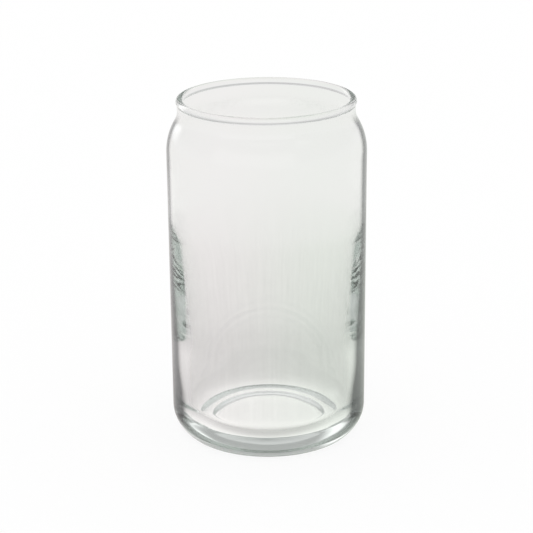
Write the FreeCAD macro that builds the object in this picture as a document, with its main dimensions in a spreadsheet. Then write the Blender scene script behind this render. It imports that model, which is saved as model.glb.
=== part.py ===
# Can-shaped juice glass in clear glass, one moulded piece.
#
# Frame: millimetres, +Z up, the origin at the centre of the ring that the glass stands on.
# The glass is round about Z. Its wall section lies in the XZ plane as one closed outline of lines and
# arcs, each tangent to the next, and is turned once about Z. The hollow under the base is cut after it.
# Heights at the top hang from the rim and the inside hangs from the outside, so that a change of one
# size carries its neighbours with it. Inside, the wall is thin and plain below the shoulder, thickens
# down a straight taper with a gentle bend at each end, and is thick and plain again in the heel.

import FreeCAD, Part
import math
import os
import Sketcher

NODE = "juice_glass"

# Driving dimensions: name, value in millimetres (degrees for an angle), what it is
DIMENSIONS = [
    ("overall_height", 133.35, "table to the top of the rim"),
    ("body_diameter", 76.0, "outside of the straight body"),
    ("neck_inset", 4.4, "outside of the body in to the outside of the neck"),
    ("neck_length", 5.1, "top of the rim down to the end of the shoulder"),
    ("shoulder_radius", 22.2, "outside, the round of the shoulder"),
    ("neck_blend_radius", 7.2, "outside, the hollow between shoulder and neck"),
    ("bead_thickness", 2.7, "rim bead, from inside to outside"),
    ("bead_overhang", 0.4, "rim bead past the outside of the neck"),
    ("bead_blend", 1.0, "radius where the bead runs into the neck"),
    ("heel_radius", 12.0, "outside, body into heel"),
    ("heel_turn", 50.0, "degrees turned by the heel before the foot begins"),
    ("foot_radius", 3.0, "outside, heel into the standing ring"),
    ("neck_wall", 1.5, "wall at the neck"),
    ("upper_wall", 1.3, "wall at the shoulder and down the upper body, its thinnest"),
    ("heel_wall", 6.5, "wall of the heel, from the foot of the taper down to the corner"),
    ("plain_length", 23.9, "inside, foot of the shoulder down to the bend into the taper"),
    ("taper_blend", 60.0, "inside, radius of the bend at each end of the taper"),
    ("taper_angle", 6.4, "degrees that the taper leans in from the upright"),
    ("corner_radius", 10.0, "inside, heel wall into floor"),
    ("floor_thickness", 6.0, "floor above the table"),
    ("standing_ring", 9.2, "width of the flat ring that the glass stands on"),
    ("push_up_crown", 44.0, "hollow under the base, across its flat top"),
    ("push_up_depth", 0.4, "hollow under the base, table to its flat top"),
]


def make_sheet(doc):
    """The driving dimensions, one row each: alias, value, meaning."""
    sheet = doc.addObject("Spreadsheet::Sheet", "Dimensions")
    for row, (name, value, meaning) in enumerate(DIMENSIONS, start=1):
        sheet.set(f"A{row}", name)
        sheet.set(f"B{row}", str(value))
        sheet.set(f"C{row}", meaning)
        sheet.setAlias(f"B{row}", name)
    doc.recompute()
    return sheet


def section_sketch(body, name):
    """An empty sketch on the body's own XZ plane."""
    plane = next(item for item in body.Origin.OriginFeatures if item.Role == "XZ_Plane")
    sketch = body.newObject("Sketcher::SketchObject", name)
    sketch.AttachmentSupport = (plane, [""])
    sketch.MapMode = "FlatFace"
    return sketch


class Outline:
    """Draws a smooth path in a sketch: each line or arc goes on from the last with the same heading.

    Headings and turns are in radians, a left turn is positive. Every joint is an end-to-end tangency,
    so the path stays smooth when a size changes.
    """

    START, END, CENTRE = 1, 2, 3

    def __init__(self, sketch, point, heading):
        self.sketch = sketch
        self.point = point
        self.heading = heading
        self.last = None

    def join(self, index, start, end):
        """Makes the new element tangent to the last one, and remembers its far end."""
        if self.last is not None:
            self.sketch.addConstraint(Sketcher.Constraint("Tangent", *self.last, index, start))
        self.last = (index, end)
        return index

    def line(self, length):
        ahead = FreeCAD.Vector(math.cos(self.heading), math.sin(self.heading), 0)
        start = self.point
        self.point = start + ahead * length
        index = self.sketch.addGeometry(Part.LineSegment(start, self.point), False)
        return self.join(index, self.START, self.END)

    def arc(self, radius, turn):
        side = math.copysign(math.pi / 2, turn)
        to_centre = FreeCAD.Vector(math.cos(self.heading + side), math.sin(self.heading + side), 0)
        centre = self.point + to_centre * radius
        begin = self.heading - side
        finish = begin + turn
        self.heading += turn
        self.point = centre + FreeCAD.Vector(math.cos(finish), math.sin(finish), 0) * radius
        circle = Part.Circle(centre, FreeCAD.Vector(0, 0, 1), radius)
        low, high = min(begin, finish), max(begin, finish)
        index = self.sketch.addGeometry(Part.ArcOfCircle(circle, low, high), False)
        if turn > 0:
            return self.join(index, self.START, self.END)
        return self.join(index, self.END, self.START)


class Sizes:
    """Names a sketch's dimensions and ties each one to an expression on the sheet."""

    def __init__(self, sketch):
        self.sketch = sketch

    def add(self, name, expression, kind, *where):
        value = self.sketch.evalExpression(expression)
        index = self.sketch.addConstraint(Sketcher.Constraint(kind, *where, value))
        self.sketch.renameConstraint(index, name)
        self.sketch.setExpression(f"Constraints.{name}", expression)

    def radius(self, name, expression, arc):
        self.add(name, expression, "Radius", arc)

    def across(self, name, expression, element, point):
        """Distance of a point from the axis."""
        self.add(name, expression, "DistanceX", -1, Outline.START, element, point)

    def height(self, name, expression, element, point):
        """Height of a point above the table."""
        self.add(name, expression, "DistanceY", -1, Outline.START, element, point)


def foot_edge(sheet):
    """Outer edge of the standing ring, where the foot's round meets the table."""
    heel_step = sheet.heel_radius - sheet.foot_radius
    heel_turn = math.radians(sheet.heel_turn)
    return sheet.body_diameter / 2 - sheet.heel_radius + heel_step * math.cos(heel_turn)


def wall_section(body, sheet):
    """The closed section of the glass: base, outside, rim bead, inside and floor."""
    sketch = section_sketch(body, "WallSection")
    start, end, centre = Outline.START, Outline.END, Outline.CENTRE
    right = math.pi / 2

    body_outside = sheet.body_diameter / 2
    neck_outside = body_outside - sheet.neck_inset
    body_inside = body_outside - sheet.upper_wall
    neck_inside = neck_outside - sheet.neck_wall
    shoulder_top = sheet.overall_height - sheet.neck_length

    # How far each round turns, from the widths that it joins
    heel_turn = math.radians(sheet.heel_turn)
    heel_top = sheet.foot_radius + (sheet.heel_radius - sheet.foot_radius) * math.sin(heel_turn)
    outer_round = sheet.shoulder_radius + sheet.neck_blend_radius
    outer_turn = math.acos(1 - sheet.neck_inset / outer_round)
    outer_foot = shoulder_top - outer_round * math.sin(outer_turn)
    inner_shoulder = sheet.shoulder_radius - sheet.upper_wall
    inner_neck_blend = sheet.neck_blend_radius + sheet.neck_wall
    inner_round = inner_shoulder + inner_neck_blend
    inner_turn = math.acos(1 - (body_inside - neck_inside) / inner_round)
    inner_foot = shoulder_top - inner_round * math.sin(inner_turn)

    bead = sheet.bead_thickness / 2
    bead_centre = neck_outside + sheet.bead_overhang - bead
    bead_reach = bead + sheet.bead_blend
    outer_curl = math.acos((neck_outside + sheet.bead_blend - bead_centre) / bead_reach)
    inner_curl = math.acos((bead_centre - neck_inside + sheet.bead_blend) / bead_reach)
    outer_neck_length = sheet.neck_length - bead - bead_reach * math.sin(outer_curl)
    inner_neck_length = sheet.neck_length - bead - bead_reach * math.sin(inner_curl)

    taper_turn = math.radians(sheet.taper_angle)
    heel_inside = body_outside - sheet.heel_wall
    bends_in = 2 * sheet.taper_blend * (1 - math.cos(taper_turn))
    bends_down = 2 * sheet.taper_blend * math.sin(taper_turn)
    taper_length = (body_inside - heel_inside - bends_in) / math.sin(taper_turn)
    taper_foot = inner_foot - sheet.plain_length - bends_down - taper_length * math.cos(taper_turn)

    path = Outline(sketch, FreeCAD.Vector(0, 0, 0), 0.0)
    base = path.line(foot_edge(sheet))
    foot = path.arc(sheet.foot_radius, right - heel_turn)
    heel = path.arc(sheet.heel_radius, heel_turn)
    outside = path.line(outer_foot - heel_top)
    shoulder = path.arc(sheet.shoulder_radius, outer_turn)
    neck_blend = path.arc(sheet.neck_blend_radius, -outer_turn)
    outer_neck = path.line(outer_neck_length)
    outer_bead_blend = path.arc(sheet.bead_blend, -outer_curl)
    rim = path.arc(bead, 2 * right + outer_curl + inner_curl)
    inner_bead_blend = path.arc(sheet.bead_blend, -inner_curl)
    inner_neck = path.line(inner_neck_length)
    inner_blend = path.arc(inner_neck_blend, inner_turn)
    inner_shoulder_arc = path.arc(inner_shoulder, -inner_turn)
    inside = path.line(sheet.plain_length)
    upper_bend = path.arc(sheet.taper_blend, -taper_turn)
    path.line(taper_length)
    lower_bend = path.arc(sheet.taper_blend, taper_turn)
    heel_upright = path.line(taper_foot - sheet.floor_thickness - sheet.corner_radius)
    corner = path.arc(sheet.corner_radius, -right)
    floor = path.line(heel_inside - sheet.corner_radius)
    axis = sketch.addGeometry(Part.LineSegment(path.point, FreeCAD.Vector(0, 0, 0)), False)

    place = Sketcher.Constraint
    sketch.addConstraint(place("Coincident", floor, end, axis, start))
    sketch.addConstraint(place("Coincident", axis, end, base, start))
    sketch.addConstraint(place("Coincident", base, start, -1, start))
    sketch.addConstraint(place("PointOnObject", axis, start, -2))
    sketch.addConstraint(place("Horizontal", base))
    for upright in (outside, outer_neck, inner_neck, inside, heel_upright):
        sketch.addConstraint(place("Vertical", upright))
    sketch.addConstraint(place("Horizontal", floor))

    size = Sizes(sketch)
    cell = sheet.Name
    outside_body = f"{cell}.body_diameter / 2"
    outside_neck = f"{outside_body} - {cell}.neck_inset"
    neck_foot = f"{cell}.overall_height - {cell}.neck_length"
    size.radius("foot_arc", f"{cell}.foot_radius", foot)
    size.radius("heel_arc", f"{cell}.heel_radius", heel)
    size.add("heel_angle", f"{cell}.heel_turn * 1 deg", "Angle", heel)
    size.across("body_outside", outside_body, outside, start)
    size.radius("shoulder_arc", f"{cell}.shoulder_radius", shoulder)
    size.radius("neck_arc", f"{cell}.neck_blend_radius", neck_blend)
    size.across("neck_outside", outside_neck, outer_neck, start)
    size.height("neck_foot", neck_foot, outer_neck, start)
    size.radius("outer_bead_arc", f"{cell}.bead_blend", outer_bead_blend)
    size.radius("rim_arc", f"{cell}.bead_thickness / 2", rim)
    bead_middle = f"{outside_neck} + {cell}.bead_overhang - {cell}.bead_thickness / 2"
    size.across("rim_middle", bead_middle, rim, centre)
    size.height("rim_height", f"{cell}.overall_height - {cell}.bead_thickness / 2", rim, centre)
    size.radius("inner_bead_arc", f"{cell}.bead_blend", inner_bead_blend)
    size.across("neck_inside", f"{outside_neck} - {cell}.neck_wall", inner_neck, end)
    size.height("inner_neck_foot", neck_foot, inner_neck, end)
    size.radius("inner_neck_arc", f"{cell}.neck_blend_radius + {cell}.neck_wall", inner_blend)
    size.radius("inner_shoulder", f"{cell}.shoulder_radius - {cell}.upper_wall", inner_shoulder_arc)
    size.across("body_inside", f"{outside_body} - {cell}.upper_wall", inside, start)
    size.add("plain_length", f"{cell}.plain_length", "Distance", inside)
    size.radius("upper_bend_arc", f"{cell}.taper_blend", upper_bend)
    size.add("taper_angle", f"{cell}.taper_angle * 1 deg", "Angle", upper_bend)
    size.radius("lower_bend_arc", f"{cell}.taper_blend", lower_bend)
    size.across("heel_inside", f"{outside_body} - {cell}.heel_wall", heel_upright, start)
    size.radius("corner_arc", f"{cell}.corner_radius", corner)
    size.height("floor_height", f"{cell}.floor_thickness", floor, end)
    return sketch


def push_up_section(body, sheet):
    """Half of the hollow under the base: a flat crown and a sloping flank out to the standing ring."""
    sketch = section_sketch(body, "PushUpSection")
    start, end = Outline.START, Outline.END

    axis_foot = FreeCAD.Vector(0, 0, 0)
    axis_top = FreeCAD.Vector(0, sheet.push_up_depth, 0)
    crown_edge = FreeCAD.Vector(sheet.push_up_crown / 2, sheet.push_up_depth, 0)
    ring_edge = FreeCAD.Vector(foot_edge(sheet) - sheet.standing_ring, 0, 0)
    corners = [axis_foot, ring_edge, crown_edge, axis_top]
    table, flank, crown, axis = [
        sketch.addGeometry(Part.LineSegment(corners[i], corners[(i + 1) % 4]), False) for i in range(4)
    ]

    place = Sketcher.Constraint
    for first, second in ((table, flank), (flank, crown), (crown, axis), (axis, table)):
        sketch.addConstraint(place("Coincident", first, end, second, start))
    sketch.addConstraint(place("Coincident", table, start, -1, start))
    sketch.addConstraint(place("Horizontal", table))
    sketch.addConstraint(place("Horizontal", crown))
    sketch.addConstraint(place("Vertical", axis))

    size = Sizes(sketch)
    cell = sheet.Name
    heel_step = f"({cell}.heel_radius - {cell}.foot_radius) * cos({cell}.heel_turn * 1 deg)"
    ring_outside = f"{cell}.body_diameter / 2 - {cell}.heel_radius + {heel_step}"
    size.across("ring_inside", f"{ring_outside} - {cell}.standing_ring", table, end)
    size.across("crown_edge", f"{cell}.push_up_crown / 2", crown, start)
    size.height("depth", f"{cell}.push_up_depth", crown, start)
    return sketch


def turned(body, kind, name, sketch):
    """A full turn of a section about the glass's axis: a Revolution adds it, a Groove cuts it."""
    feature = body.newObject(kind, name)
    feature.Profile = sketch
    feature.ReferenceAxis = (sketch, ["V_Axis"])
    feature.Angle = 360.0
    sketch.Visibility = False
    return feature


def make_glass(doc, sheet):
    """The glass: its wall turned in one go, then the hollow under the base."""
    body = doc.addObject("PartDesign::Body", "JuiceGlass")
    body.Label = NODE
    turned(body, "PartDesign::Revolution", "Wall", wall_section(body, sheet))
    doc.recompute()
    solid = body.Shape.Volume
    turned(body, "PartDesign::Groove", "PushUp", push_up_section(body, sheet))
    doc.recompute()
    if not body.Shape.Volume < solid:
        raise RuntimeError("the push-up cut nothing from the base")
    return body


def check(doc, bodies):
    """Stops where an object failed to compute, or a body is empty, unsound or not one solid."""
    for item in doc.Objects:
        if "Invalid" in item.State or "Error" in item.State:
            raise RuntimeError(f"{item.Label} did not compute: {item.State}")
    for body in bodies:
        if body.Shape.isNull() or not body.Shape.isValid() or len(body.Shape.Solids) != 1:
            raise RuntimeError(f"{body.Label} is not one sound solid")


def main():
    doc = FreeCAD.newDocument("JuiceGlass")
    sheet = make_sheet(doc)
    bodies = [make_glass(doc, sheet)]
    doc.recompute()
    check(doc, bodies)
    os.makedirs("parts", exist_ok=True)
    for body in bodies:
        body.Shape.exportStep(f"parts/{body.Label}.step")
        print(f"{body.Label}: {body.Shape.Volume / 1000:.1f} ml of glass")


main()
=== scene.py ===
"""Juice glass: a can-shaped tumbler of clear glass, standing on a pale studio floor.

Units are metres, +Z is up, and the origin is the centre of the ring that the glass stands on.
"""

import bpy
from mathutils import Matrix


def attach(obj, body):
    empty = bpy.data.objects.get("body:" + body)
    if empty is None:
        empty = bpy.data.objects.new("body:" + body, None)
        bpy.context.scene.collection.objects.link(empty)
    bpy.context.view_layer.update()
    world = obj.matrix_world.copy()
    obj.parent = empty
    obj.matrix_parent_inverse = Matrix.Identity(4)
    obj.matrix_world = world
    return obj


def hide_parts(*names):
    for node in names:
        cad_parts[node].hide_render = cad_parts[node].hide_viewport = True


bl_info = {
    "name": "Juice Glass",
    "version": (1, 0, 0),
    "blender": (4, 5, 0),
    "location": "3D View > Sidebar > Glass",
    "description": "Builds a can-shaped juice glass of clear glass and a pale studio round it",
    "category": "Object",
}

import math

import bpy
import numpy as np
from mathutils import Matrix, Vector

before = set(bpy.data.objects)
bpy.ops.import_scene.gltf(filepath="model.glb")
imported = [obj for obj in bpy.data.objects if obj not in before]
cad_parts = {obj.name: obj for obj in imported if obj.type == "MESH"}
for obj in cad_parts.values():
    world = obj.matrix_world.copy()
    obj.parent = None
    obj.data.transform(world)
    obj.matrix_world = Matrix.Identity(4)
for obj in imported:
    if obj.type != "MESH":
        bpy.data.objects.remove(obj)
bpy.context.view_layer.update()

NODE = "juice_glass"
SLOT = "clear_glass"
RIGHT_ANGLE = math.pi / 2
MM = 0.001


# Shader maths


class Signal:
    """A number on a node's output. Arithmetic on it adds Math nodes."""

    def __init__(self, shader, socket):
        self.shader = shader
        self.socket = socket

    def math(self, operation, *others):
        inputs = {i: value for i, value in enumerate((self, *others))}
        return self.shader.node("ShaderNodeMath", {"operation": operation}, inputs).number(0)

    def reflected(self, operation, other):
        return self.shader.node("ShaderNodeMath", {"operation": operation}, {0: other, 1: self}).number(0)

    def __add__(self, other):
        return self.math("ADD", other)

    def __sub__(self, other):
        return self.math("SUBTRACT", other)

    def __mul__(self, other):
        return self.math("MULTIPLY", other)

    def __radd__(self, other):
        return self.reflected("ADD", other)

    def __rsub__(self, other):
        return self.reflected("SUBTRACT", other)

    def __rmul__(self, other):
        return self.reflected("MULTIPLY", other)

    def step(self, low, high):
        """0 below low, 1 above high, and a smooth rise between them. low above high falls instead."""
        settings = {"interpolation_type": "SMOOTHSTEP", "clamp": True}
        inputs = {"Value": self, "From Min": low, "From Max": high, "To Min": 0.0, "To Max": 1.0}
        return self.shader.node("ShaderNodeMapRange", settings, inputs).number("Result")

    def band(self, low, high, soft):
        """1 between low and high, with an edge soft wide centred on each of them."""
        half = soft / 2
        return self.step(low - half, low + half) * self.step(high + half, high - half)

    def towards(self, other, share):
        """This value where the share is 0, the other where it is 1, and a blend of them between."""
        return self + share * (other - self)


class Node:
    """A shader node, with its outputs as Signals or as plain sockets."""

    def __init__(self, shader, node):
        self.shader = shader
        self.node = node

    def number(self, output):
        return Signal(self.shader, self.node.outputs[output])

    def out(self, output=0):
        return self.node.outputs[output]


class Shader:
    """A node tree that is written as expressions."""

    def __init__(self, owner):
        owner.use_nodes = True
        self.tree = owner.node_tree
        self.tree.nodes.clear()

    def node(self, kind, settings=None, inputs=None):
        """Adds a node, makes its settings, then sets or links its inputs."""
        made = self.tree.nodes.new(kind)
        for name, value in (settings or {}).items():
            setattr(made, name, value)
        for name, value in (inputs or {}).items():
            if isinstance(value, Signal):
                value = value.socket
            if isinstance(value, bpy.types.NodeSocket):
                self.tree.links.new(value, made.inputs[name])
            else:
                made.inputs[name].default_value = value
        return Node(self, made)

    def mix(self, factor, low, high):
        """The colour low where the factor is 0 and high where it is 1."""
        settings = {"data_type": "RGBA", "clamp_factor": True}
        return self.node("ShaderNodeMix", settings, {0: factor, 6: low, 7: high}).out(2)

    def mix_shader(self, factor, low, high):
        return self.node("ShaderNodeMixShader", None, {0: factor, 1: low, 2: high}).out()


# Surfaces


class Section:
    """A smooth outline in the plane of radius and height, walked from point to point.

    Headings and turns are in radians and a left turn is positive. A line adds length along the heading.
    An arc swings the point about a centre one radius to the side of the heading. Each of them adds as
    many points as it has steps.
    """

    def __init__(self, radius, height, heading):
        self.point = np.array([radius, height])
        self.heading = heading
        self.points = [self.point[None]]

    def line(self, length, steps):
        way = np.array([math.cos(self.heading), math.sin(self.heading)])
        share = np.linspace(0, 1, steps + 1)[1:, None]
        self.points.append(self.point + share * length * way)
        self.point = self.point + length * way

    def arc(self, radius, turn, steps):
        side = math.copysign(RIGHT_ANGLE, turn)
        sideways = np.array([math.cos(self.heading + side), math.sin(self.heading + side)])
        centre = self.point + radius * sideways
        angle = self.heading - side + turn * np.linspace(0, 1, steps + 1)[1:]
        self.points.append(centre + radius * np.stack([np.cos(angle), np.sin(angle)], 1))
        self.heading += turn
        self.point = self.points[-1][-1]

    def outline(self):
        return np.concatenate(self.points)


def turned_mesh(name, outline, segments):
    """A closed surface of revolution. The outline starts and ends on the axis.

    The surface is the grid x = r(u) cos v, y = r(u) sin v, z = h(u), where u runs along the outline and
    v once round the axis. The two ends on the axis are one point each, joined by fans of triangles.
    The attribute outside is 1 from the start of the outline up to its highest point, and 0 after it.
    """
    radius, height = outline[1:-1, 0], outline[1:-1, 1]
    rows = len(radius)
    turn = np.arange(segments) * (2 * math.pi / segments)
    grid = np.stack(
        [
            radius[:, None] * np.cos(turn),
            radius[:, None] * np.sin(turn),
            np.repeat(height[:, None], segments, 1),
        ],
        2,
    )
    ends = np.array([[0, 0, outline[0, 1]], [0, 0, outline[-1, 1]]])
    points = np.concatenate([grid.reshape(-1, 3), ends])

    here = np.arange(segments)
    after = (here + 1) % segments
    row = np.arange(rows - 1)[:, None] * segments
    corners = (row + here, row + after, row + segments + after, row + segments + here)
    quads = np.stack(corners, 2).reshape(-1, 4)
    last = (rows - 1) * segments
    first_fan = np.stack([np.full(segments, rows * segments), after, here], 1)
    last_fan = np.stack([np.full(segments, rows * segments + 1), last + here, last + after], 1)

    loops = np.concatenate([quads.ravel(), first_fan.ravel(), last_fan.ravel()])
    sizes = np.concatenate([np.full(len(quads), 4), np.full(2 * segments, 3)])
    starts = np.concatenate([[0], np.cumsum(sizes)[:-1]])
    mesh = bpy.data.meshes.new(name)
    mesh.vertices.add(len(points))
    mesh.vertices.foreach_set("co", points.ravel())
    mesh.loops.add(len(loops))
    mesh.loops.foreach_set("vertex_index", loops)
    mesh.polygons.add(len(sizes))
    mesh.polygons.foreach_set("loop_start", starts)
    mesh.polygons.foreach_set("use_smooth", np.ones(len(sizes), bool))
    mesh.update(calc_edges=True)
    outside = (np.arange(rows) <= height.argmax()).astype(float)
    side = mesh.attributes.new("outside", "FLOAT", "POINT")
    side.data.foreach_set("value", np.concatenate([np.repeat(outside, segments), [1.0, 0.0]]))
    mesh.validate()
    return mesh


def glass_outline(size):
    """The section of the glass from the middle of the base, up the outside, over the rim, down the
    inside and back to the axis at the floor."""
    body_outside = size.body_diameter / 2
    neck_outside = body_outside - size.neck_inset
    body_inside = body_outside - size.upper_wall
    neck_inside = neck_outside - size.neck_wall
    shoulder_top = size.overall_height - size.neck_length

    heel_step = size.heel_radius - size.foot_radius
    foot_edge = body_outside - size.heel_radius + heel_step * math.cos(size.heel_turn)
    heel_top = size.foot_radius + heel_step * math.sin(size.heel_turn)
    outer_round = size.shoulder_radius + size.neck_blend_radius
    outer_turn = math.acos(1 - size.neck_inset / outer_round)
    outer_foot = shoulder_top - outer_round * math.sin(outer_turn)
    inner_shoulder = size.shoulder_radius - size.upper_wall
    inner_blend = size.neck_blend_radius + size.neck_wall
    inner_round = inner_shoulder + inner_blend
    inner_turn = math.acos(1 - (body_inside - neck_inside) / inner_round)
    inner_foot = shoulder_top - inner_round * math.sin(inner_turn)

    bead = size.bead_thickness / 2
    bead_centre = neck_outside + size.bead_overhang - bead
    bead_reach = bead + size.bead_blend
    outer_curl = math.acos((neck_outside + size.bead_blend - bead_centre) / bead_reach)
    inner_curl = math.acos((bead_centre - neck_inside + size.bead_blend) / bead_reach)
    bends_in = 2 * size.taper_blend * (1 - math.cos(size.taper_angle))
    bends_down = 2 * size.taper_blend * math.sin(size.taper_angle)
    taper_length = (size.heel_wall - size.upper_wall - bends_in) / math.sin(size.taper_angle)
    taper_foot = inner_foot - size.plain_length - bends_down - taper_length * math.cos(size.taper_angle)
    recess = foot_edge - size.standing_ring
    crown = size.push_up_crown / 2
    flank = math.atan2(-size.push_up_depth, recess - crown)

    # Under the base: the flat crown of the hollow, its flank and the standing ring
    path = Section(0.0, size.push_up_depth, 0.0)
    path.line(crown, steps=6)
    path.heading = flank
    path.line(math.hypot(recess - crown, size.push_up_depth), steps=6)
    path.heading = 0.0
    path.line(size.standing_ring, steps=6)
    # Up the outside: foot, heel, body, shoulder and neck
    path.arc(size.foot_radius, RIGHT_ANGLE - size.heel_turn, steps=10)
    path.arc(size.heel_radius, size.heel_turn, steps=16)
    path.line(outer_foot - heel_top, steps=12)
    path.arc(size.shoulder_radius, outer_turn, steps=14)
    path.arc(size.neck_blend_radius, -outer_turn, steps=10)
    path.line(size.neck_length - bead - bead_reach * math.sin(outer_curl), steps=2)
    # Over the rim bead
    path.arc(size.bead_blend, -outer_curl, steps=5)
    path.arc(bead, math.pi + outer_curl + inner_curl, steps=28)
    path.arc(size.bead_blend, -inner_curl, steps=5)
    # Down the inside: neck, shoulder, plain wall, taper, corner and floor
    path.line(size.neck_length - bead - bead_reach * math.sin(inner_curl), steps=2)
    path.arc(inner_blend, inner_turn, steps=10)
    path.arc(inner_shoulder, -inner_turn, steps=14)
    path.line(size.plain_length, steps=4)
    path.arc(size.taper_blend, -size.taper_angle, steps=8)
    path.line(taper_length, steps=10)
    path.arc(size.taper_blend, size.taper_angle, steps=8)
    path.line(taper_foot - size.floor_thickness - size.corner_radius, steps=4)
    path.arc(size.corner_radius, -RIGHT_ANGLE, steps=24)
    path.line(path.point[0], steps=10)
    return path.outline()


# Settings


def length(name, text, millimetres):
    return bpy.props.FloatProperty(name=name, description=text, default=millimetres * MM, unit="LENGTH")


def colour(name, text, value):
    return bpy.props.FloatVectorProperty(name=name, description=text, default=value, size=3, subtype="COLOR")


def number(name, text, value):
    return bpy.props.FloatProperty(name=name, description=text, default=value)


def count(name, text, value):
    return bpy.props.IntProperty(name=name, description=text, default=value)


def angle(name, text, degrees):
    turn = math.radians(degrees)
    return bpy.props.FloatProperty(name=name, description=text, default=turn, subtype="ANGLE")


class GlassSizes(bpy.types.PropertyGroup):
    overall_height: length("Height", "Table to the top of the rim", 133.35)
    body_diameter: length("Body", "Across the straight body", 76.0)
    neck_inset: length("Neck inset", "Outside of the body to the outside of the neck", 4.4)
    neck_length: length("Neck length", "Top of the rim down to the end of the shoulder", 5.1)
    shoulder_radius: length("Shoulder", "Outside round of the shoulder", 22.2)
    neck_blend_radius: length("Neck blend", "Outside hollow above the shoulder", 7.2)
    bead_thickness: length("Bead", "Rim bead from inside to outside", 2.7)
    bead_overhang: length("Bead overhang", "Rim bead past the outside of the neck", 0.4)
    bead_blend: length("Bead blend", "Round where the bead runs into the neck", 1.0)
    heel_radius: length("Heel", "Outside round from body to heel", 12.0)
    foot_radius: length("Foot", "Outside round from heel to standing ring", 3.0)
    heel_turn: angle("Heel turn", "Turn of the heel before the foot begins", 50.0)
    neck_wall: length("Neck wall", "Wall at the neck", 1.5)
    upper_wall: length("Upper wall", "Wall at the foot of the shoulder", 1.3)
    heel_wall: length("Heel wall", "Wall below the taper, down to the corner", 6.5)
    plain_length: length("Plain wall", "Inside, from the shoulder down to the taper", 23.9)
    taper_blend: length("Taper blend", "Inside, round of the bends at both ends of the taper", 60.0)
    taper_angle: angle("Taper", "Slope of the taper, which thickens the wall downwards", 6.4)
    corner_radius: length("Corner", "Inside round from wall to floor", 10.0)
    floor_thickness: length("Floor", "Height of the floor above the table", 6.0)
    standing_ring: length("Standing ring", "Width of the flat ring that the glass stands on", 9.2)
    push_up_crown: length("Push-up crown", "Across the flat top of the hollow under the base", 44.0)
    push_up_depth: length("Push-up depth", "Rise of the hollow under the base", 0.4)
    segments: count("Segments", "Facets once round the glass", 384)


class GlassFinish(bpy.types.PropertyGroup):
    index: number("Index", "Refractive index", 1.52)
    fading: number("Fading", "How fast light takes on the shade, for each metre of glass", 16.0)
    shade: colour("Shade", "Colour that light takes on deep in the glass", (0.72, 0.76, 0.735))
    # Painted shade: the dark colour that the outside of the wall takes where it is seen edge-on.
    edge: colour("Edge", "Tint of the glass where its outside is seen edge-on", (0.032, 0.034, 0.036))
    streak: colour("Streaks", "Tint of the faint upright streaks in the lower wall", (0.90, 0.90, 0.90))
    ripple: length("Ripple", "Height of the broad waves in the surface of the wall", 0.05)


class StudioSettings(bpy.types.PropertyGroup):
    floor_colour: colour("Floor", "Colour of the floor and the backdrop", (1.0, 1.0, 1.0))
    room_level: number("Room", "Brightness of the room above the floor, as the glass sees it", 0.75)
    horizon_level: number("Horizon", "Brightness where the room meets the floor, as the glass sees it", 0.87)
    sky_level: number("Ceiling", "Brightness overhead, as the glass sees it", 0.44)
    ring_level: number("Ring", "Brightness of the ring of light high round the glass", 1.0)
    bounces: count("Bounces", "Turns of a ray inside the glass", 48)


# Pieces

WHITE = (1.0, 1.0, 1.0, 1.0)

# Painted shade at the edges: the outside of the wall is darkened where it is seen edge-on. Facing is 0 where
# a surface is seen square on and 1 where it is seen edge-on. The painted shade begins at the facing given
# below, or sooner by the amounts for the thick lower wall, the heel and the right side, which gets more of
# it.
# A pair of heights or places gives in metres where a change begins and where it is complete.
EDGE_SHADE_FACING = 0.68
EDGE_SHADE_RAMP = (0.0, 0.12)
EDGE_SHADE_HEIGHTS = (0.008, 0.127)
EDGE_SHADE_HEIGHTS_SOFT = 0.006
SHADE_SOONER_LOW = 0.10
LOW_HEIGHTS = (0.080, 0.036)
SHADE_SOONER_HEEL = 0.08
HEEL_HEIGHTS = (0.034, 0.016)
SHADE_SOONER_RIGHT = 0.05
SHADED_RIGHT_PLACES = (-0.03, 0.03)

# The upright streaks and the waves are noise. A small squeeze draws it out along the height.
STREAK_SCALE = 900.0
STREAK_SQUEEZE = 0.02
STREAK_TOP = (0.100, 0.040)
STREAK_FOOT = (0.012, 0.020)
WAVE_SCALE = 110.0
WAVE_SQUEEZE = 0.3
LEFT_WAVES = 0.4
WAVE_PLACES = (-0.03, 0.02)


def stretched_noise(shader, place, scale, squeeze):
    """Soft noise drawn out along the height, from 0 to 1."""
    drawn = shader.node("ShaderNodeMapping", None, {"Vector": place, "Scale": (1.0, 1.0, squeeze)}).out()
    inputs = {"Vector": drawn, "Scale": scale, "Detail": 1.0, "Roughness": 0.5}
    return shader.node("ShaderNodeTexNoise", None, inputs).number(0)


def painted_edge_shade(shader, across, height):
    """How much painted shade the outside of the wall shows where it is seen edge-on, from 0 to 1."""
    outside = shader.node("ShaderNodeAttribute", {"attribute_name": "outside"}).number("Fac")
    facing = shader.node("ShaderNodeLayerWeight", None, {"Blend": 0.5}).number("Facing")
    start = EDGE_SHADE_FACING - SHADE_SOONER_LOW * height.step(*LOW_HEIGHTS) - SHADE_SOONER_HEEL * height.step(*HEEL_HEIGHTS)
    start = start - SHADE_SOONER_RIGHT * across.step(*SHADED_RIGHT_PLACES)
    return (facing - start).step(*EDGE_SHADE_RAMP) * outside * height.band(*EDGE_SHADE_HEIGHTS, EDGE_SHADE_HEIGHTS_SOFT)


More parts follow.
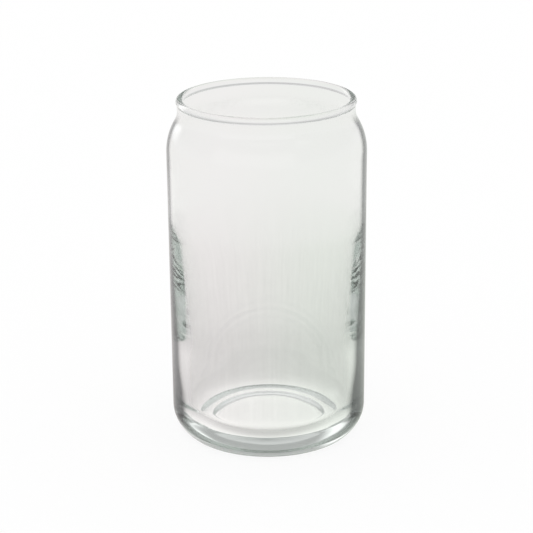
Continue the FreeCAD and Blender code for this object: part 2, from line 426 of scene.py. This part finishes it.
def glass_material(finish):
    """Clear glass that takes a little light away all along its depth, with painted shade where its outside
    is seen edge-on, faint upright streaks low in the wall and broad waves that are weaker on the left."""
    material = bpy.data.materials.new(SLOT)
    shader = Shader(material)
    place = shader.node("ShaderNodeTexCoord").out("Object")
    parts = shader.node("ShaderNodeSeparateXYZ", None, {"Vector": place})
    across, height = parts.number("X"), parts.number("Z")
    # Painted shade where the outside of the wall is seen edge-on, as a share from 0 to 1.
    edge = painted_edge_shade(shader, across, height)
    streaks = stretched_noise(shader, place, STREAK_SCALE, STREAK_SQUEEZE)
    streaks = streaks * height.step(*STREAK_TOP) * height.step(*STREAK_FOOT)
    clear = shader.mix(streaks, WHITE, (*finish.streak, 1.0))
    waves = stretched_noise(shader, place, WAVE_SCALE, WAVE_SQUEEZE)
    waves = waves * (LEFT_WAVES + (1 - LEFT_WAVES) * across.step(*WAVE_PLACES))
    bump = {"Height": waves, "Distance": finish.ripple, "Strength": 1.0}
    relief = shader.node("ShaderNodeBump", None, bump).out()
    surface = shader.node(
        "ShaderNodeBsdfPrincipled",
        None,
        {
            "Base Color": shader.mix(edge, clear, (*finish.edge, 1.0)),
            "Roughness": 0.0,
            "IOR": finish.index,
            "Transmission Weight": 1.0,
            "Normal": relief,
        },
    )
    depth = shader.node(
        "ShaderNodeVolumeAbsorption", None, {"Color": (*finish.shade, 1.0), "Density": finish.fading}
    )
    shader.node("ShaderNodeOutputMaterial", None, {"Surface": surface.out(), "Volume": depth.out()})
    return material


class GLASS_OT_tumbler(bpy.types.Operator):
    """Build the glass as one turned surface and let it stand for the CAD solid"""

    bl_idname = "glass.tumbler"
    bl_label = "Juice Glass"

    def execute(self, context):
        scene = context.scene
        sizes = scene.glass_sizes
        mesh = turned_mesh(NODE + "_form", glass_outline(sizes), sizes.segments)
        piece = bpy.data.objects.new("tumbler", mesh)
        scene.collection.objects.link(piece)
        mesh.materials.append(glass_material(scene.glass_finish))
        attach(piece, "root")
        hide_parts(NODE)
        return {"FINISHED"}


# Studio

# The camera, fitted to the outline of the glass in the picture. The sensor is in millimetres and angles
# are in radians.
FOCAL_PIXELS = 1661.53
PICTURE_PIXELS = 533
SENSOR = 36.0
NEAREST_SEEN = 0.01
FARTHEST_SEEN = 50.0
CAMERA_PLACE = (0.0, -0.60888, 0.27851)
CAMERA_PITCH = 0.336
CAMERA_YAW = -0.0007
CAMERA_ROLL = -0.0084


def add_camera(scene):
    """Looks down by the pitch, turned right by the yaw and leaning by the roll about the line of sight."""
    data = bpy.data.cameras.new("camera")
    data.sensor_width = SENSOR
    data.lens = FOCAL_PIXELS / PICTURE_PIXELS * SENSOR
    data.clip_start, data.clip_end = NEAREST_SEEN, FARTHEST_SEEN
    camera = bpy.data.objects.new("camera", data)
    scene.collection.objects.link(camera)
    ahead = Vector(
        (
            math.sin(CAMERA_YAW) * math.cos(CAMERA_PITCH),
            math.cos(CAMERA_YAW) * math.cos(CAMERA_PITCH),
            -math.sin(CAMERA_PITCH),
        )
    )
    level = Vector((math.cos(CAMERA_YAW), -math.sin(CAMERA_YAW), 0.0))
    above = level.cross(ahead)
    across = math.cos(CAMERA_ROLL) * level + math.sin(CAMERA_ROLL) * above
    up = -math.sin(CAMERA_ROLL) * level + math.cos(CAMERA_ROLL) * above
    turn = Matrix((across, up, -ahead)).transposed().to_4x4()
    camera.matrix_world = Matrix.Translation(CAMERA_PLACE) @ turn
    scene.camera = camera


# The room as the glass sees it. A bearing runs round the glass from +X towards +Y and a rise up from the
# horizon, in degrees. A pair gives where a change begins and where it is complete, or the edges of a band.
HORIZON_RISES = (0.0, 16.0)
BACK_BEARING = 90.0
BACK_SIDES = (56.0, 34.0)
BACK_RISES = (48.0, 34.0)
BACK_DARKER = 0.19
CEILING_RISES = (66.0, 74.0)
RING_RISES = (46.0, 68.0)
RING_SOFT = 5.0

# Panels of light: bearing of the middle, half width, low and high edge, brightness
PANELS = (
    (128.0, 9.0, 2.0, 34.0, 1.5),
    (47.0, 8.0, 28.0, 44.0, 1.6),
    (-37.0, 9.0, 38.0, 50.0, 1.0),
    (-105.0, 50.0, 2.0, 28.0, 1.0),
)
PANEL_SOFT = 14.0


def room_brightness(studio, bearing, rise):
    """As bright as the floor at the horizon, then the plain room, darker on the far side from the camera,
    then the ring of light and the ceiling over it, with the panels on top of all that."""
    behind = (bearing - BACK_BEARING).math("ABSOLUTE").step(*BACK_SIDES)
    room = studio.room_level - behind * BACK_DARKER * rise.step(*BACK_RISES)
    seen = studio.horizon_level + rise.step(*HORIZON_RISES) * (room - studio.horizon_level)
    seen = seen.towards(studio.sky_level, rise.step(*CEILING_RISES))
    seen = seen.towards(studio.ring_level, rise.band(*RING_RISES, RING_SOFT))
    for middle, half, low, high, strength in PANELS:
        off = (bearing - middle + 540).math("MODULO", 360) - 180
        seen = seen.towards(strength, off.band(-half, half, PANEL_SOFT) * rise.band(low, high, PANEL_SOFT))
    return seen


def add_world(scene, studio):
    """White for the camera and for the light on the floor. The glass sees a plain room with soft panels."""
    world = bpy.data.worlds.new("studio")
    scene.world = world
    shader = Shader(world)
    way = shader.node("ShaderNodeTexCoord").out("Generated")
    parts = shader.node("ShaderNodeSeparateXYZ", None, {"Vector": way})
    x, y, z = (parts.number(i) for i in range(3))
    bearing = y.math("ARCTAN2", x).math("DEGREES")
    rise = z.math("ARCSINE").math("DEGREES")
    path = shader.node("ShaderNodeLightPath")
    plain = path.number("Is Camera Ray").math("MAXIMUM", path.number("Is Diffuse Ray"))
    strength = plain + (1 - plain) * room_brightness(studio, bearing, rise)
    light = shader.node("ShaderNodeBackground", None, {"Color": WHITE, "Strength": strength})
    shader.node("ShaderNodeOutputWorld", None, {"Surface": light.out()})


# The floor lies a hair below the ring that the glass stands on, so that light turns back inside the ring.
# Most of its colour glows by itself, and only the rest is lit, which keeps the shadow of the glass faint.
FLOOR_GAP = 0.05 * MM
FLOOR_HALF = 3.0
FLOOR_GLOW = 0.9

# The floor as the glass sees it, with painted light and shade on it: a painted shadow of the glass round
# its foot that brightens with distance, a painted pool of light under the base with painted shade at its
# front, and a painted patch of light far off on the left, behind the glass, which the glass shows as a
# highlight. Distances and places are in metres from the middle of the glass, and a pair gives where a change
# begins and where it is complete.
NEAR_SHADOW_LEVEL = 0.71
SHADOW_ROUND_BRIGHTER = 0.14
SHADOW_ROUND_DISTANCES = (0.055, 0.115)
FAR_BRIGHTER = 0.02
FAR_DISTANCES = (0.08, 0.35)
POOL_OF_LIGHT_LEVEL = 1.06
POOL_OF_LIGHT_DISTANCES = (0.048, 0.024)
POOL_FRONT_SHADE = 0.42
POOL_FRONT_SHADE_PLACES = (-0.014, -0.032)
LIGHT_PATCH_PLACE = (-0.19, 0.25)
LIGHT_PATCH_DISTANCES = (0.16, 0.0)
LIGHT_PATCH_BRIGHTER = 0.15
# Painted coloured light on the floor near the glass, as the glass sees it: pink on the left, green on the
# right.
LEFT_CAST = (1.035, 0.995, 0.99, 1.0)
RIGHT_CAST = (0.945, 0.985, 0.92, 1.0)
FAR_CAST = (1.0, 1.0, 0.985, 1.0)
CAST_PLACES = (-0.04, 0.04)
CAST_DISTANCES = (0.30, 0.12)
CAST_KEPT_FAR = 0.35


def distance(x, y):
    return (x * x + y * y).math("SQRT")


def painted_floor_brightness(x, y, far):
    """Painted light and shade on the floor: a painted shadow of the glass that brightens with distance, a
    painted pool of light under the base with painted shade at its front, and a painted patch of light far
    off on the left, behind the glass."""
    # Painted shadow of the glass round its foot, brighter with distance.
    shade = NEAR_SHADOW_LEVEL + SHADOW_ROUND_BRIGHTER * far.step(*SHADOW_ROUND_DISTANCES)
    shade = shade + FAR_BRIGHTER * far.step(*FAR_DISTANCES)
    # Painted pool of light under the base, with painted shade at its front.
    base = POOL_OF_LIGHT_LEVEL - POOL_FRONT_SHADE * y.step(*POOL_FRONT_SHADE_PLACES)
    # Painted patch of light far off on the left, behind the glass, which the glass shows as a highlight.
    glow = distance(x - LIGHT_PATCH_PLACE[0], y - LIGHT_PATCH_PLACE[1]).step(*LIGHT_PATCH_DISTANCES)
    return shade.towards(base, far.step(*POOL_OF_LIGHT_DISTANCES)) + LIGHT_PATCH_BRIGHTER * glow


def floor_cast(shader, x, far):
    """Painted coloured light: a cast that leans to pink on the left and to green on the right, and is weaker
    far off.
    """
    near = shader.mix(x.step(*CAST_PLACES), LEFT_CAST, RIGHT_CAST)
    return shader.mix(CAST_KEPT_FAR + (1 - CAST_KEPT_FAR) * far.step(*CAST_DISTANCES), FAR_CAST, near)


def floor_material(studio):
    """Pale for the camera, with the shadow of the glass, and a greyer glow for what the glass sees, which
    carries painted shadow and painted light.
    """
    material = bpy.data.materials.new("floor")
    material.cycles.emission_sampling = "NONE"
    shader = Shader(material)
    place = shader.node("ShaderNodeTexCoord").out("Object")
    parts = shader.node("ShaderNodeSeparateXYZ", None, {"Vector": place})
    x, y = parts.number("X"), parts.number("Y")
    far = distance(x, y)
    # What the glass sees of the floor: a glow with the painted shadow and the painted light.
    glow = {"Color": floor_cast(shader, x, far), "Strength": painted_floor_brightness(x, y, far)}
    floor_with_painted_light = shader.node("ShaderNodeEmission", None, glow)
    pale = (*studio.floor_colour, 1.0)
    matt = shader.node("ShaderNodeBsdfDiffuse", None, {"Color": pale})
    direct = shader.node("ShaderNodeEmission", None, {"Color": pale, "Strength": 1.0})
    lit = shader.mix_shader(FLOOR_GLOW, matt.out(), direct.out())
    camera = shader.node("ShaderNodeLightPath").number("Is Camera Ray")
    shader.node("ShaderNodeOutputMaterial", None, {"Surface": shader.mix_shader(camera, floor_with_painted_light.out(), lit)})
    return material


def add_floor(scene, studio):
    mesh = bpy.data.meshes.new("floor")
    half = FLOOR_HALF
    corners = [(x, y, -FLOOR_GAP) for x, y in ((-half, -half), (half, -half), (half, half), (-half, half))]
    mesh.from_pydata(corners, [], [(0, 1, 2, 3)])
    mesh.materials.append(floor_material(studio))
    floor = bpy.data.objects.new("floor", mesh)
    scene.collection.objects.link(floor)


class GLASS_OT_studio(bpy.types.Operator):
    """Set up the pale floor, the room with its panels of light, and the camera"""

    bl_idname = "glass.studio"
    bl_label = "Studio"

    def execute(self, context):
        scene = context.scene
        studio = scene.studio_settings
        scene.view_settings.view_transform = "Standard"
        for limit in ("max_bounces", "transmission_bounces", "glossy_bounces"):
            setattr(scene.cycles, limit, studio.bounces)
        add_floor(scene, studio)
        add_world(scene, studio)
        add_camera(scene)
        return {"FINISHED"}


class VIEW3D_PT_juice_glass(bpy.types.Panel):
    bl_label = "Juice Glass"
    bl_space_type = "VIEW_3D"
    bl_region_type = "UI"
    bl_category = "Glass"

    def draw(self, context):
        layout = self.layout
        for operator in OPERATORS:
            layout.operator(operator.bl_idname)
        for group in SETTINGS:
            settings = getattr(context.scene, group)
            for name in settings.bl_rna.properties.keys():
                if name not in ("rna_type", "name"):
                    layout.prop(settings, name)


SETTINGS = {"glass_sizes": GlassSizes, "glass_finish": GlassFinish, "studio_settings": StudioSettings}
OPERATORS = (GLASS_OT_tumbler, GLASS_OT_studio)


def register():
    for item in (*SETTINGS.values(), *OPERATORS, VIEW3D_PT_juice_glass):
        bpy.utils.register_class(item)
    for name, group in SETTINGS.items():
        setattr(bpy.types.Scene, name, bpy.props.PointerProperty(type=group))


def unregister():
    for name in SETTINGS:
        delattr(bpy.types.Scene, name)
    for item in reversed((*SETTINGS.values(), *OPERATORS, VIEW3D_PT_juice_glass)):
        bpy.utils.unregister_class(item)


def main():
    register()
    bpy.ops.glass.tumbler()
    bpy.ops.glass.studio()


if __name__ == "__main__":
    main()
